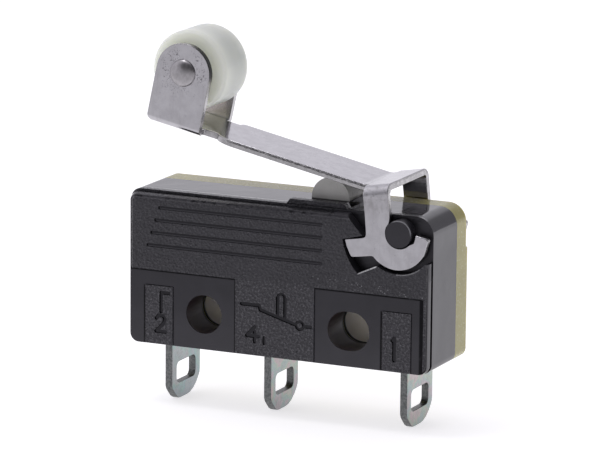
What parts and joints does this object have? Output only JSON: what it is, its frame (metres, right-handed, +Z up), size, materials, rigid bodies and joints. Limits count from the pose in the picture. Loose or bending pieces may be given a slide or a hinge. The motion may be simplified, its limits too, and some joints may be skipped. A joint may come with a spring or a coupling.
{
  "type": "lever micro switch",
  "caption": "Small snap-action switch: flat two-hole body, rounded plunger, hinged sheet lever with a nylon roller, and solder terminals with wide rounded eyes.",
  "frame": {"origin": "middle of the round fixing hole, at half the thickness of the body", "axes": "+X along the body towards the lever's pivot, +Y from the marked front face to the rear cover, +Z up out of the plunger; the terminals point to -Z"},
  "size_m": [0.0198, 0.0064, 0.0228],
  "materials": {
    "black_thermoset": "moulded, semi-gloss with a fine spark-eroded grain on the front",
    "olive_cover": "translucent olive-yellow moulding",
    "stainless": "rolled stainless sheet, satin",
    "pin_steel": "turned and riveted",
    "roller_nylon": "cream translucent nylon",
    "grey_plunger": "grey moulded plastic",
    "plated_terminal": "brass, plated, faintly iridescent",
    "blade_alloy": "copper alloy spring strip",
    "spring_steel": "spring wire",
    "contact_silver": "silver alloy rivet"
  },
  "bodies": {
    "switch_body": {"housing": "black_thermoset", "cover": "olive_cover", "com_terminal": "plated_terminal", "no_terminal": "plated_terminal", "nc_terminal": "plated_terminal", "pivot_bracket": "plated_terminal", "no_contact": "contact_silver", "nc_contact": "contact_silver"},
    "lever_arm": {"lever": "stainless", "roller_pin": "pin_steel"},
    "roller_wheel": {"roller": "roller_nylon"},
    "push_button": {"plunger": "grey_plunger"},
    "rocker_arm": {"rocker": "blade_alloy"},
    "blade_arm": {"contact_blade": "blade_alloy", "moving_contact": "contact_silver", "snap_spring": "spring_steel"}
  },
  "joints": [
    {"name": "lever_pivot", "type": "hinge", "parent": "switch_body", "child": "lever_arm", "pos_m": [0.01265, 0, 0.00617], "axis": [0, -1, 0], "range_deg": [0, 12.5], "stiffness_Nm_per_rad": 0.004, "springref_deg": -42.97},
    {"name": "roller_spin", "type": "hinge", "parent": "lever_arm", "child": "roller_wheel", "pos_m": [-0.00194, 0, 0.01436], "axis": [0, -1, 0], "continuous": true},
    {"name": "plunger_slide", "type": "slide", "parent": "switch_body", "child": "push_button", "axis": [0, 0, -1], "range_m": [0, 0.0012]},
    {"name": "rocker_pivot", "type": "hinge", "parent": "switch_body", "child": "rocker_arm", "pos_m": [0.01259, 0, 0.00545], "axis": [0, -1, 0], "range_deg": [0, 13], "deforming": ["snap_spring"]},
    {"name": "blade_snap", "type": "hinge", "parent": "switch_body", "child": "blade_arm", "pos_m": [0.00805, 0, 0.00345], "axis": [0, -1, 0], "range_deg": [0, 2.5]}
  ],
  "couplings": [
    {"joint": "plunger_slide", "follows": "lever_pivot", "m_per_rad": 0.005276},
    {"joint": "rocker_pivot", "follows": "lever_pivot", "ratio": 1.02},
    {"joint": "blade_snap", "follows": "lever_pivot", "ratio": 0.19}
  ]
}
